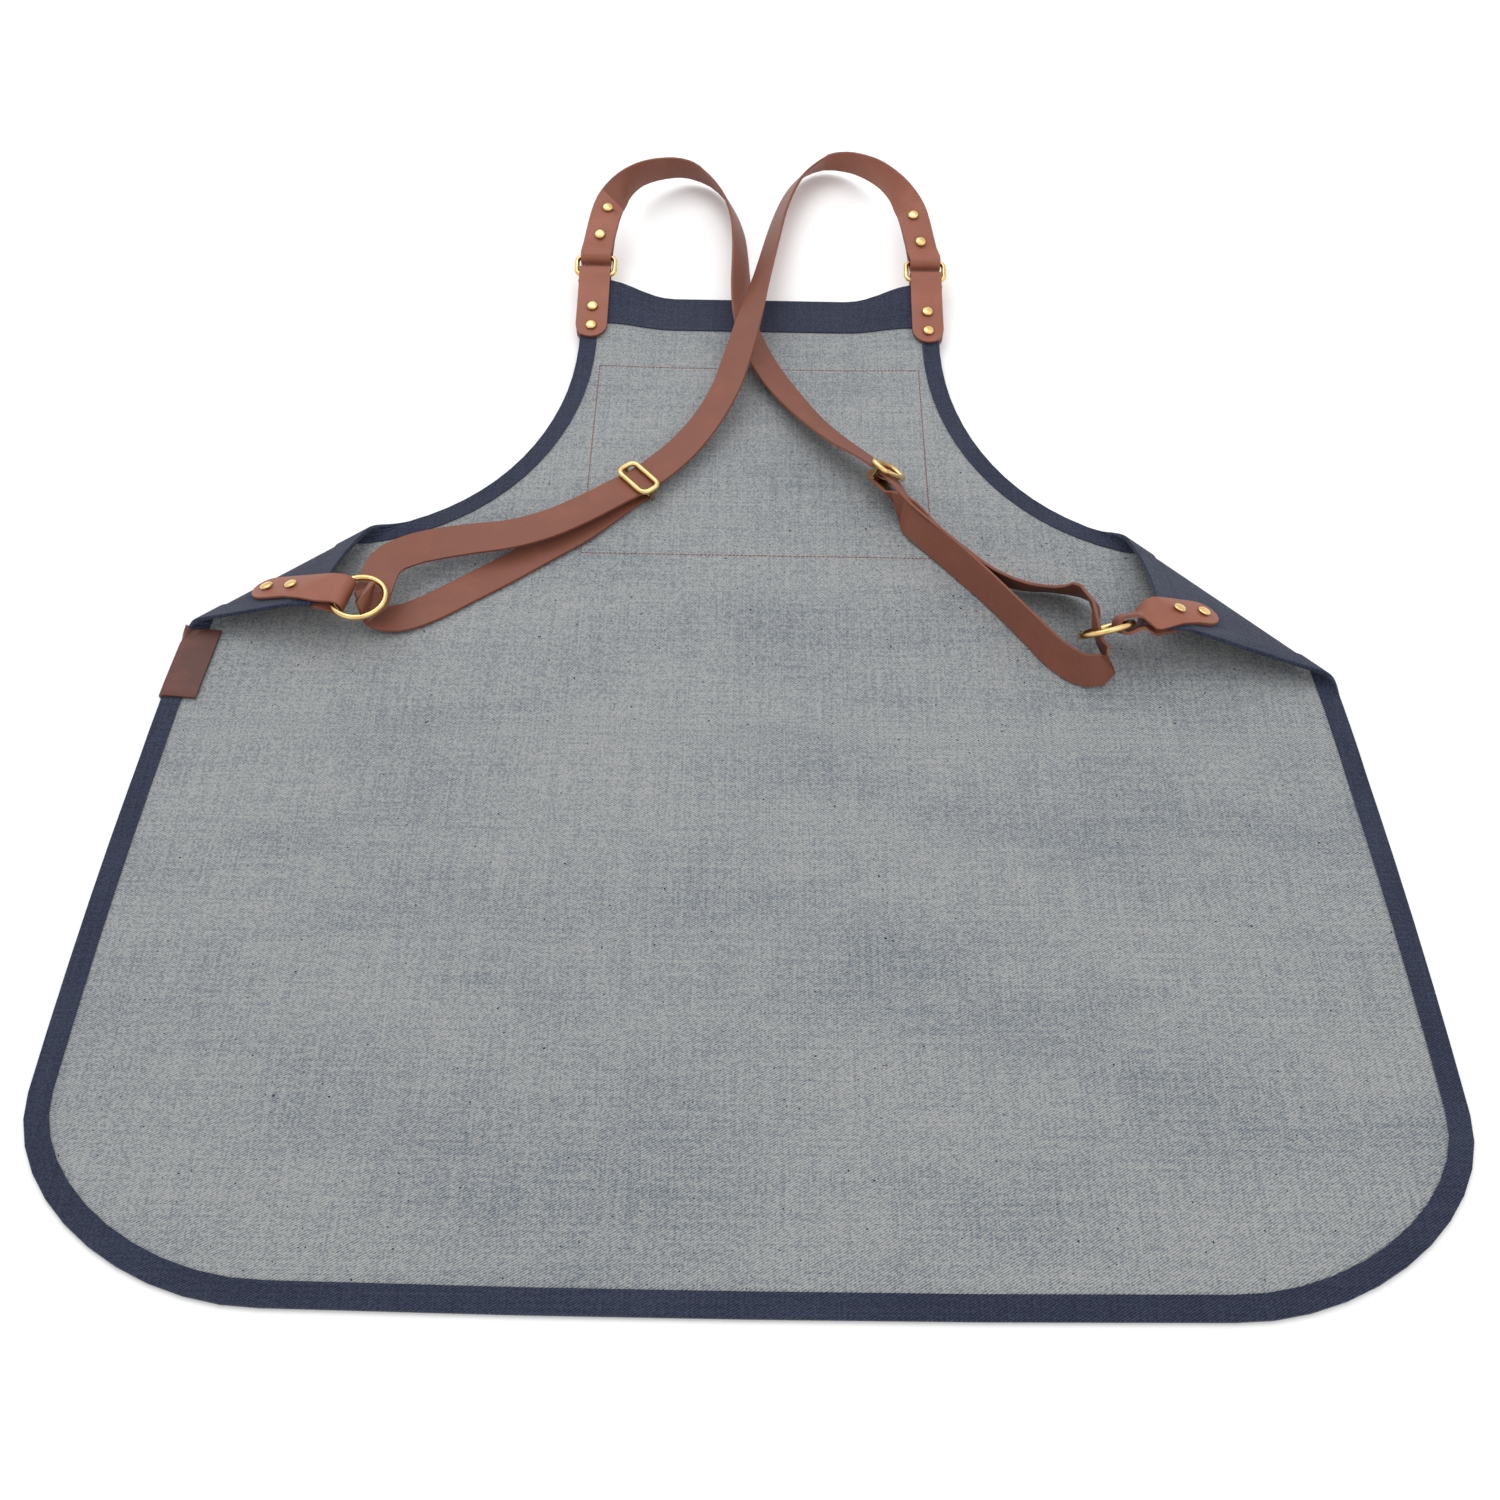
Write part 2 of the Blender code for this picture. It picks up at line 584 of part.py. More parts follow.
class Tab:
    """A leather tab that grips the edge of the cloth and holds a ring beyond it."""

    def __init__(self, tip, axis, throat, twist, lanes=()):
        self.tip, self.axis, self.throat, self.twist, self.lanes = tip, axis, throat, twist, lanes
        self.across = Vector((axis.y, -axis.x))
        self.seat = TAB_LENGTH - throat

    def point(self, along, wide, high):
        """Where a point lies: along from the bar, wide across the tab and high above the cloth's middle."""
        run = max(self.throat - TWIST_START - TWIST_END, TWIST_END)
        turn = self.twist * smooth((along + self.throat - TWIST_START) / run)
        wide, high = (
            wide * math.cos(turn) - high * math.sin(turn),
            wide * math.sin(turn) + high * math.cos(turn),
        )
        flat = self.tip + self.axis * (along + self.throat) + self.across * wide
        return lay(flat, high)

    def frame(self):
        """The bar's middle, the way out of the tab, the way along the bar, and the way up."""
        step = 0.0005
        middle = self.point(0, 0, 0)
        out = (self.point(step, 0, 0) - self.point(-step, 0, 0)).normalized()
        bar = self.point(0, step, 0) - self.point(0, -step, 0)
        bar = (bar - out * bar.dot(out)).normalized()
        return middle, out, bar, bar.cross(out).normalized()

    def rivets(self):
        """The rivets' places in the flat plan."""
        back = [self.throat + self.seat - RIVET_END - RIVET_PITCH * i for i in range(2)]
        return [self.tip + self.axis * (self.throat - b) for b in back]

    def solid(self, name):
        half = loop_section(LOOP_RADIUS, TAB_HEIGHT, TAB_LENGTH)
        path = half + [(LOOP_RADIUS, 0.0)] + [(a, -h) for a, h in reversed(half)]
        bends, normals = lengths_along(path), normals_along(path)
        total, seat = bends[-1], TAB_LENGTH - 1.75 * TAB_SPREAD
        marks = sorted([seat * i / SEAT_CUTS for i in range(1, SEAT_CUTS)] + bends)
        marks = sorted(marks + [total - seat * i / SEAT_CUTS for i in range(1, SEAT_CUTS)])
        holes = [s for i in range(2) for e in [RIVET_END + RIVET_PITCH * i] for s in (e, total - e)]
        arc = [math.radians(90 + 22.5 * i) for i in range(9)]
        rounded = [Vector((1 + math.cos(t), math.sin(t))) * TAB_WIDTH / 2 for t in arc]
        bm = strip(TAB_WIDTH, marks, holes, TAB_THICK, rounded, self.lanes)
        for vert in bm.verts:
            s, wide, off = vert.co
            at = min(max(sum(m <= s for m in bends) - 1, 0), len(bends) - 2)
            t = (s - bends[at]) / (bends[at + 1] - bends[at])
            place = Vector(path[at]).lerp(Vector(path[at + 1]), t)
            place = place + normals[at].lerp(normals[at + 1], t) * off
            vert.co = self.point(place.x, -wide, place.y)
        return finished(name, bm, "leather")


def along_route(route):
    """The route's points, each with the way across the strap that its turn gives."""
    points = [Vector(step[:3]) for step in route]
    found = []
    for i, step in enumerate(route):
        ahead = (points[min(i + 1, len(points) - 1)] - points[max(i - 1, 0)]).normalized()
        flat = ahead.cross(Vector((0, 0, 1))).normalized()
        turn = math.radians(step[3])
        found.append((points[i], flat * math.cos(turn) + flat.cross(ahead) * math.sin(turn)))
    return found


def spline(stations, spacing):
    """The stations joined by a smooth curve, with a point at every spacing or so."""
    found = []
    for i in range(len(stations) - 1):
        four = [stations[min(max(i + j, 0), len(stations) - 1)] for j in (-1, 0, 1, 2)]
        steps = max(1, round((four[2][0] - four[1][0]).length / spacing))
        for k in range(steps):
            t = k / steps
            mixed = []
            for a, b, c, d in zip(*four):
                mixed.append(b + (c - a) * t / 2 + (2 * a - 5 * b + 4 * c - d) * t * t / 2
                             + (3 * b - a - 3 * c + d) * t**3 / 2)
            found.append(tuple(mixed))
    return found + [stations[-1]]


def squared(stations):
    """Each station as its point, its way ahead, its way across and its way out of the leather."""
    found = []
    for i, (point, wide) in enumerate(stations):
        ahead = (stations[min(i + 1, len(stations) - 1)][0] - stations[max(i - 1, 0)][0]).normalized()
        wide = (wide - ahead * wide.dot(ahead)).normalized()
        found.append((point, ahead, wide, wide.cross(ahead)))
    return found


def agreeing(wide, other):
    return wide if wide.dot(other) > 0 else -wide


class Strap:
    """One strap: riveted round a shoulder ring, through its slider, round a waist ring and back."""

    def __init__(self, shoulder, route, slider, out, waist, back):
        bar, away, wide, up = shoulder.frame()
        far = bar + away * (SHOULDER_RING_DEPTH + WIRE)
        fold = []
        for i in range(9):
            turn = math.radians(-80 - 25 * i)
            place = far + (away * math.cos(turn) + up * math.sin(turn)) * STRAP_LOOP_RADIUS
            fold.append((place, wide))
        run = squared(spline(along_route(route), SPACING))
        marks = lengths_along([r[0] for r in run])
        ends = [i for i, m in enumerate(marks) if STRAP_LAP_START < m < STRAP_LAP]
        lap = [(run[i][0] - run[i][3] * STRAP_LAYER, run[i][2]) for i in reversed(ends)]

        middle, out_way, ring_bar, ring_up = waist.frame()
        hold = middle + out_way * (RING_CHORD + STRAP_IN_RING)
        last = along_route(out)[-1]
        if (last[0] - hold).dot(ring_up) < 0:
            ring_up = -ring_up
        through = [(hold + ring_up * r, agreeing(ring_bar, last[1])) for r in (0.007, 0, -0.007)]

        whole = along_route(tuple(route) + (slider,) + tuple(out))
        returning = along_route(back)
        across = through[-1][1]
        kept = []
        for point, wide in returning:
            across = agreeing(wide, across)
            kept.append((point, across))
        before = len(route)
        place, ahead, wide, up = squared(whole)[before]
        self.slider = (place, ahead, wide, up)
        wide = agreeing(wide, kept[-1][1])
        drop = SLIDER_WRAP + SLIDER_WRAP_RADIUS
        wrap = [(place + up * drop + ahead * a, wide) for a in (0.016, 0.005, -SLIDER_SLACK)]
        for i in range(1, 6):
            turn = math.radians(90 + 36 * i)
            high = SLIDER_WRAP + SLIDER_WRAP_RADIUS * math.sin(turn)
            back_way = -SLIDER_SLACK + SLIDER_WRAP_RADIUS * math.cos(turn)
            wrap.append((place + up * high + ahead * back_way, wide))
        wrap.append((place + up * (SLIDER_WRAP - SLIDER_WRAP_RADIUS) + ahead * 0.0015, wide))

        front = lap + spline(fold + [whole[0]], SPACING)[:-1]
        rest = spline(whole + through + kept + wrap, SPACING)
        self.frames = squared(front + rest)
        self.marks = lengths_along([f[0] for f in self.frames])
        self.lap = len(lap)
        self.front = len(front)
        self.holes = []
        self.rivets = []
        for reach in STRAP_RIVETS:
            i = min(range(len(ends)), key=lambda k: abs(marks[ends[k]] - reach))
            main = self.front + ends[i]
            other = len(ends) - 1 - i
            self.holes += [self.marks[main], self.marks[other]]
            point, ahead, wide, up = self.frames[main]
            self.rivets.append((point - up * STRAP_LAYER / 2, up))

    def at(self, s):
        i = min(max(sum(m <= s for m in self.marks) - 1, 0), len(self.marks) - 2)
        t = (s - self.marks[i]) / (self.marks[i + 1] - self.marks[i])
        return [a.lerp(b, t) for a, b in zip(self.frames[i], self.frames[i + 1])]

    def solid(self, name):
        bm = strip(STRAP_WIDTH, self.marks, self.holes, STRAP_THICK)
        for vert in bm.verts:
            s, wide, high = vert.co
            point, ahead, across, up = self.at(s)
            vert.co = point - across.normalized() * wide + up.normalized() * high
        return finished(name, bm, "leather")


# ---- Brass ----


def placed(piece, point, ahead, up):
    """Puts a piece's origin at a point, with its Z along up and its Y along ahead."""
    side = ahead.cross(up).normalized()
    turned = Matrix((side, up.cross(side), up)).transposed().to_4x4()
    piece.matrix_world = Matrix.Translation(point) @ turned
    return piece


def rivet(name, point, up, grip):
    """A dome rivet and its matching cap on one post, turned about its own axis."""
    high, cap, post = grip / 2 + GAP, RIVET_CAP / 2, RIVET_POST / 2
    upper = [(post, high), (cap * 0.96, high), (cap, high + 0.3 * RIVET_DOME)]
    upper += [(cap * 0.72, high + 0.78 * RIVET_DOME), (cap * 0.38, high + 0.96 * RIVET_DOME)]
    profile = [(0, high + RIVET_DOME), *reversed(upper), *[(r, -z) for r, z in upper], (0, -high - RIVET_DOME)]
    mesh = bpy.data.meshes.new(name)
    mesh.from_pydata([(r, 0, z) for r, z in profile], [(i, i + 1) for i in range(len(profile) - 1)], [])
    piece = registered(bpy.data.objects.new(name, mesh), "brass")
    turn = piece.modifiers.new("turn", "SCREW")
    turn.angle, turn.steps, turn.render_steps = 2 * math.pi, 12, 12
    turn.use_merge_vertices, turn.merge_threshold = True, 1e-5
    helper = Vector((1, 0, 0)) if abs(up.x) < 0.9 else Vector((0, 1, 0))
    return placed(piece, point, up.cross(helper).normalized(), up)


def round_ring(name, frame):
    """A welded round ring that turns about the fold that holds it."""
    middle, out, bar, up = frame
    bpy.ops.mesh.primitive_torus_add(
        major_radius=WAIST_RING_RADIUS, minor_radius=WIRE / 2, major_segments=36, minor_segments=10
    )
    made = bpy.context.object
    made.name = name
    made.data.transform(Matrix.Translation((0, RING_CHORD, 0)))
    made.users_collection[0].objects.unlink(made)
    return placed(registered(made, "brass"), middle, out, up)


def rounded_loop(half_width, start, end, radius):
    """A rectangle with round corners, as closed points in a plane."""
    points = []
    corners = ((1, end, 0), (-1, end, 90), (-1, start, 180), (1, start, 270))
    for side, y, first in corners:
        inward = radius if y == start else -radius
        for i in range(5):
            t = math.radians(first + 22.5 * i)
            centre = Vector((side * (half_width - radius), y + inward))
            points.append(centre + radius * Vector((math.cos(t), math.sin(t))))
    return points


def wire_loop(name, points, wire):
    curve = bpy.data.curves.new(name, "CURVE")
    curve.dimensions = "3D"
    curve.bevel_depth, curve.bevel_resolution = wire / 2, 3
    line = curve.splines.new("POLY")
    line.points.add(len(points) - 1)
    for spot, point in zip(line.points, points):
        spot.co = (point.x, point.y, 0, 1)
    line.use_cyclic_u = True
    return bpy.data.objects.new(name, curve)


def shoulder_ring(name, frame):
    """A flat rectangular ring that turns about the bar in its tab's fold."""
    middle, out, bar, up = frame
    half = SHOULDER_RING_INNER / 2 + WIRE / 2
    loop = rounded_loop(half, 0, SHOULDER_RING_DEPTH + WIRE, WIRE)
    return placed(registered(wire_loop(name, loop, WIRE), "brass"), middle, out, up)


def slider(name, frame):
    """A rounded frame over the strap, with a bar beneath the strap that its end folds round."""
    place, ahead, wide, up = frame
    half, deep = SLIDER_INNER / 2 + SLIDER_WIRE / 2, (SLIDER_DEPTH - SLIDER_WIRE) / 2
    above = STRAP_THICK / 2 + GAP + SLIDER_WIRE / 2
    loop = wire_loop("slider_frame", rounded_loop(half, -deep, deep, 0.005), SLIDER_WIRE)
    bpy.context.scene.collection.objects.link(loop)
    loop.data.transform(Matrix.Translation((0, 0, -above)))
    graph = bpy.context.evaluated_depsgraph_get()
    mesh = bpy.data.meshes.new_from_object(loop.evaluated_get(graph))
    bpy.data.objects.remove(loop)
    piece = registered(bpy.data.objects.new(name, mesh), "brass")
    edge = SLIDER_BAR / 2
    low, high = -above, SLIDER_WRAP
    inner = [(half - edge, low), (half - edge, high - edge), (edge - half, high - edge), (edge - half, low)]
    outer = [(-half - edge, low), (-half - edge, high + edge), (half + edge, high + edge), (half + edge, low)]
    bits = flat_solid([[Vector(p) for p in inner + outer]], -edge, edge)
    bits.transform(Matrix.Rotation(math.pi / 2, 4, "X"))
    staple_mesh = bpy.data.meshes.new("staple")
    bits.to_mesh(staple_mesh)
    bits.free()
    staple = bpy.data.objects.new("staple", staple_mesh)
    bpy.context.scene.collection.objects.link(staple)
    union = piece.modifiers.new("staple", "BOOLEAN")
    union.operation, union.solver, union.object = "UNION", "EXACT", staple
    bpy.context.view_layer.update()
    graph = bpy.context.evaluated_depsgraph_get()
    piece.data = bpy.data.meshes.new_from_object(piece.evaluated_get(graph))
    piece.modifiers.clear()
    bpy.data.objects.remove(staple)
    return placed(piece, place, ahead, up)


# ---- The apron ----


def sew_cloth(tabs):
    """The denim pieces, with a hole for each rivet."""
    places = [place for tab in tabs for place in tab.rivets()]
    holes = [circle(place, HOLE_RADIUS) for place in places]
    laid_piece("body_panel", [body_outline(), *holes], -DENIM_FACE, DENIM_FACE, "denim_inside")

    right = armhole(26)[::-1]
    left = mirrored(armhole(26))
    waist_gap = BINDING_WIDTH + 0.005
    for name, path in (
        ("armhole_binding_right", trimmed(right, waist_gap, BINDING_END)),
        ("armhole_binding_left", trimmed(left, BINDING_END, waist_gap)),
    ):
        folded_edge(name, path, BINDING_WIDTH, LAYER_LOW, TAPE, "denim_face", places)
    side = side_and_hem(11)
    skirt = trimmed(mirrored(side) + side[-2::-1], 0.005, 0.005)
    folded_edge("skirt_binding", skirt, BINDING_WIDTH, LAYER_LOW, TAPE, "denim_face", places)

    sill = LENGTH - BIB_HEM_DEPTH
    edge = risen_past(sill, inset(right, BINDING_WIDTH + GAP))
    facing = edge + bib_edge()[1:-1] + mirrored(edge)[::-1]
    laid_piece("bib_facing", [facing], LAYER_LOW, FACING_FACE, "denim_face")

    for name, height, low in (
        ("chest_panel", PANEL_HEIGHT, -LAYER_LOW - DENIM),
        ("chest_pocket", POCKET_HEIGHT, -LAYER_LOW - 2 * DENIM - GAP),
    ):
        loop = rounded_loop(PANEL_WIDTH / 2, PANEL_RISE, PANEL_RISE + height, PANEL_CORNER)
        laid_piece(name, [loop], low, low + DENIM, "denim_face")

    down = mirrored(side)
    before = (WAIST_RISE - PATCH_TOP_RISE) * 1.01
    length = lengths_along(down)[-1]
    patch = trimmed(down, before, length - before - PATCH_LENGTH)
    folded_edge("edge_patch", patch, PATCH_REACH, PATCH_LOW, PATCH_THICK, "dark_leather")


def hang(side, name, shoulder, waist, strap):
    """The tabs, rings and rivets of one shoulder, with its strap, and of one waist corner."""
    for kind, tab in (("shoulder", shoulder), ("waist", waist)):
        tab.solid(f"{kind}_tab_{name}")
        for i, place in enumerate(tab.rivets()):
            up = (lay(place, 0.001) - lay(place, -0.001)).normalized()
            rivet(f"{kind}_tab_rivet_{name}_{i + 1}", lay(place, 0), up, 2 * TAB_FACE + 2 * RIVET_EASE)
    shoulder_ring(f"shoulder_ring_{name}", shoulder.frame())
    round_ring(f"waist_ring_{name}", waist.frame())
    strap.solid(f"strap_{name}")
    for i, (point, up) in enumerate(strap.rivets):
        rivet(f"strap_rivet_{name}_{i + 1}", point, up, STRAP_LAYER + STRAP_THICK + 2 * RIVET_EASE)
    slider(f"slider_{name}", strap.slider)


def centre_on_floor():
    """Moves everything so that the origin is under the middle of its bounding box."""
    bpy.context.view_layer.update()
    graph = bpy.context.evaluated_depsgraph_get()
    corners = []
    pieces = list(bpy.data.collections[COLLECTION].objects)
    for piece in pieces:
        shape = piece.evaluated_get(graph)
        mesh = shape.to_mesh()
        corners += [shape.matrix_world @ v.co for v in mesh.vertices]
        shape.to_mesh_clear()
    low = [min(c[i] for c in corners) for i in range(3)]
    high = [max(c[i] for c in corners) for i in range(3)]
    shift = Vector((-(low[0] + high[0]) / 2, -(low[1] + high[1]) / 2, -low[2]))
    for piece in pieces:
        piece.matrix_world = Matrix.Translation(shift) @ piece.matrix_world
    print("moved by", tuple(round(c, 6) for c in shift), "size", [round(h - l, 5) for l, h in zip(low, high)])
    return shift


def main():
    for thing in list(bpy.data.objects):
        bpy.data.objects.remove(thing)
    bpy.context.scene.collection.children.link(bpy.data.collections.new(COLLECTION))

    shoulders, waists = {}, {}
    for side in (1, -1):
        top = Vector((side * SHOULDER_TAB_X, bib_top(SHOULDER_TAB_X)))
        shoulders[side] = Tab(top, Vector((0, 1)), SHOULDER_THROAT, 0)
        axis = Vector((side * math.sin(TAB_SPLAY[side]), math.cos(TAB_SPLAY[side])))
        inward = ARMHOLE_WAIST_PULL.normalized()
        corner = waist_corner(side) + TAB_ALONG[side] * Vector((side * inward.x, inward.y))
        lanes = (-TAB_WIDTH / 6, TAB_WIDTH / 6)
        waists[side] = Tab(corner, axis, WAIST_THROAT[side], TAB_TWIST[side], lanes)
    sew_cloth([*shoulders.values(), *waists.values()])

    left = Strap(shoulders[-1], LEFT_STRAP, LEFT_SLIDER, LEFT_STRAP_OUT, waists[1], LEFT_STRAP_BACK)
    right = Strap(shoulders[1], RIGHT_STRAP, RIGHT_SLIDER, RIGHT_STRAP_OUT, waists[-1], RIGHT_STRAP_BACK)
    hang(-1, "left", shoulders[-1], waists[-1], left)
    hang(1, "right", shoulders[1], waists[1], right)
    shift = centre_on_floor()
    for label, frame in (
        ("shoulder left", shoulders[-1].frame()), ("shoulder right", shoulders[1].frame()),
        ("waist left", waists[-1].frame()), ("waist right", waists[1].frame()),
        ("slider left strap", left.slider), ("slider right strap", right.slider),
    ):
        print(label, [[round(c, 5) for c in v] for v in (frame[0] + shift, *frame[1:])])


main()
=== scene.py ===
"""Finished look of the butcher apron: worn-in denim, leather straps and brass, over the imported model."""

import json
import math

import bmesh
import bpy
from mathutils import Matrix, Vector
from mathutils.bvhtree import BVHTree

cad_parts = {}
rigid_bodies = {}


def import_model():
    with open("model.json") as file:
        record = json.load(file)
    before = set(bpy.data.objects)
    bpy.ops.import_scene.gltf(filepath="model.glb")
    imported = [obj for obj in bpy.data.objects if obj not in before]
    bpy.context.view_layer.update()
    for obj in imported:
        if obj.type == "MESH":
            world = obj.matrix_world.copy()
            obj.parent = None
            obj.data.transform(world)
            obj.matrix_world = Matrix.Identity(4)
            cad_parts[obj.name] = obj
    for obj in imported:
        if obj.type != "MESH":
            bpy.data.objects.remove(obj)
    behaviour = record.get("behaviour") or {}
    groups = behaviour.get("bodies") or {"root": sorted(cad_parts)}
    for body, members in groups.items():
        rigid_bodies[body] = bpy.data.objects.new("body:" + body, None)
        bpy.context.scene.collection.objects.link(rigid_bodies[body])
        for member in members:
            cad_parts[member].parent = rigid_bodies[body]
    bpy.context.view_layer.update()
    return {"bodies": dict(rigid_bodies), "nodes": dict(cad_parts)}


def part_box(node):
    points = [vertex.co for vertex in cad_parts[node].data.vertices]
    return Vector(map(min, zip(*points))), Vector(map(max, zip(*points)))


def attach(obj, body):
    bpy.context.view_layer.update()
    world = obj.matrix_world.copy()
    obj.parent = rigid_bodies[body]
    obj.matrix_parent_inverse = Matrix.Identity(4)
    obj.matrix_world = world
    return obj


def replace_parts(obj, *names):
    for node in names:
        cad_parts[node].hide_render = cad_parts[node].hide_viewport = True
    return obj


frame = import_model()

bl_info = {
    "name": "Butcher Apron",
    "version": (1, 0, 0),
    "blender": (4, 5, 0),
    "location": "View3D > Sidebar > Apron",
    "description": "Dresses a denim butcher apron with cloth, leather and brass",
    "category": "Object",
}

# Each cloth piece: its flat width and length, and its cut area where that isn't a rectangle's.
CLOTH = {
    "body_panel": ((0.802, 0.8105), 0.506),
    "bib_facing": ((0.269, 0.0474), 0.0103),
    "chest_panel": ((0.254, 0.200), None),
    "chest_pocket": ((0.254, 0.170), None),
    "armhole_binding_right": ((0.0286, 0.406), None),
    "armhole_binding_left": ((0.0286, 0.406), None),
    "skirt_binding": ((0.0286, 1.760), None),
}
STRAPS = ("strap_left", "strap_right")
TABS = ("shoulder_tab_left", "shoulder_tab_right", "waist_tab_left", "waist_tab_right")
BRASS_KINDS = ("ring_left", "ring_right", "rivet", "slider")
BRASS = [name for name in frame["nodes"] if any(kind in name for kind in BRASS_KINDS)]

MERGE = 2e-6
CLOTH_GRID = 0.012
CLOTH_EDGE = 0.00022
LEATHER_THICK = 0.0023
PATCH_EDGE_SHARE = 0.7
SAME_SIDE = math.radians(50)
STITCH_INSET = 0.0015
STITCH_LIFT = 0.00005
STITCH_STEPS = 40
STITCH_SHARE = 0.74
FLOOR_DROP = 0.0004
LAMPS = (("Key", (-0.6, 0.9, 1.9), 1.6, 16), ("Fill", (0.9, -0.2, 1.8), 2.0, 7))
VIEW_PLACE = (-0.00628, -0.696024, 0.800054)
VIEW_RIGHT = Vector((0.99985843, 0.0115539, 0.01223227))
VIEW_UP = Vector((-0.01648041, 0.81907759, 0.57344599))
VIEW_AHEAD = Vector((0.00339364, 0.5735664, -0.81915204))


class ApronColours(bpy.types.PropertyGroup):
    """Colours of the cloth, the leather and the thread."""

    inside: bpy.props.FloatVectorProperty(
        name="Inside", description="Weft side of the denim", subtype="COLOR", size=3,
        default=(0.345, 0.348, 0.335),
    )
    warp: bpy.props.FloatVectorProperty(
        name="Warp", description="Dyed threads that show through on the inside", subtype="COLOR", size=3,
        default=(0.062, 0.088, 0.128),
    )
    face: bpy.props.FloatVectorProperty(
        name="Face", description="Dyed face of the denim and its binding", subtype="COLOR", size=3,
        default=(0.008, 0.011, 0.027),
    )
    rib: bpy.props.FloatVectorProperty(
        name="Rib", description="Pale threads across the face", subtype="COLOR", size=3,
        default=(0.045, 0.054, 0.090),
    )
    leather: bpy.props.FloatVectorProperty(
        name="Leather", description="Grain side of the leather", subtype="COLOR", size=3,
        default=(0.270, 0.086, 0.050),
    )
    thread: bpy.props.FloatVectorProperty(
        name="Thread", description="Stitching thread", subtype="COLOR", size=3,
        default=(0.260, 0.070, 0.050),
    )


class ApronSizes(bpy.types.PropertyGroup):
    """Sizes of the details."""

    stitch: bpy.props.FloatProperty(
        name="Stitch", description="Length of one stitch", default=0.0029, unit="LENGTH"
    )
    thread: bpy.props.FloatProperty(
        name="Thread", description="Thickness of the thread", default=0.0007, unit="LENGTH"
    )
    edge: bpy.props.FloatProperty(
        name="Leather edge", description="Rounding of the leather's edges", default=0.0005, unit="LENGTH"
    )


# ---- Node helpers ----


def new_group(name, inputs, outputs):
    group = bpy.data.node_groups.new(name, "ShaderNodeTree")
    for label, kind, value in inputs:
        socket = group.interface.new_socket(name=label, in_out="INPUT", socket_type=kind)
        socket.default_value = value
    for label, kind in outputs:
        group.interface.new_socket(name=label, in_out="OUTPUT", socket_type=kind)
    start = group.nodes.new("NodeGroupInput")
    end = group.nodes.new("NodeGroupOutput")
    return group, start, end


def math_node(tree, operation, a, b=None, clamp=False):
    node = tree.nodes.new("ShaderNodeMath")
    node.operation, node.use_clamp = operation, clamp
    for socket, value in zip(node.inputs, (a, b)):
        if value is None:
            continue
        if isinstance(value, (int, float)):
            socket.default_value = value
        else:
            tree.links.new(value, socket)
    return node.outputs[0]


def mixed(tree, factor, a, b):
    node = tree.nodes.new("ShaderNodeMix")
    node.data_type = "RGBA"
    for socket, value in ((node.inputs[0], factor), (node.inputs[6], a), (node.inputs[7], b)):
        if isinstance(value, (int, float, tuple)):
            socket.default_value = value
        else:
            tree.links.new(value, socket)
    return node.outputs[2]


def noise(tree, coords, scale, detail=2.0, stretch=(1, 1, 1), turn=0.0):
    mapping = tree.nodes.new("ShaderNodeMapping")
    mapping.inputs["Scale"].default_value = stretch
    mapping.inputs["Rotation"].default_value = (0, 0, turn)
    tree.links.new(coords, mapping.inputs["Vector"])
    node = tree.nodes.new("ShaderNodeTexNoise")
    node.inputs["Scale"].default_value = scale
    node.inputs["Detail"].default_value = detail
    tree.links.new(mapping.outputs[0], node.inputs["Vector"])
    return node.outputs[0]


def ribs(tree, coords, period, turn):
    """Bands this far apart, each running at this angle from X."""
    mapping = tree.nodes.new("ShaderNodeMapping")
    mapping.inputs["Rotation"].default_value = (0, 0, -turn)
    tree.links.new(coords, mapping.inputs["Vector"])
    node = tree.nodes.new("ShaderNodeTexWave")
    node.wave_type, node.bands_direction, node.wave_profile = "BANDS", "Y", "SIN"
    node.inputs["Scale"].default_value = math.pi / 10 / period
    node.inputs["Distortion"].default_value = 1.2
    node.inputs["Detail"].default_value = 2
    node.inputs["Detail Scale"].default_value = 1.5
    tree.links.new(mapping.outputs[0], node.inputs["Vector"])
    return node.outputs["Fac"]


def ramp(tree, value, low, high):
    node = tree.nodes.new("ShaderNodeMapRange")
    node.interpolation_type = "SMOOTHSTEP"
    node.inputs["From Min"].default_value = low
    node.inputs["From Max"].default_value = high
    tree.links.new(value, node.inputs["Value"])
    return node.outputs[0]


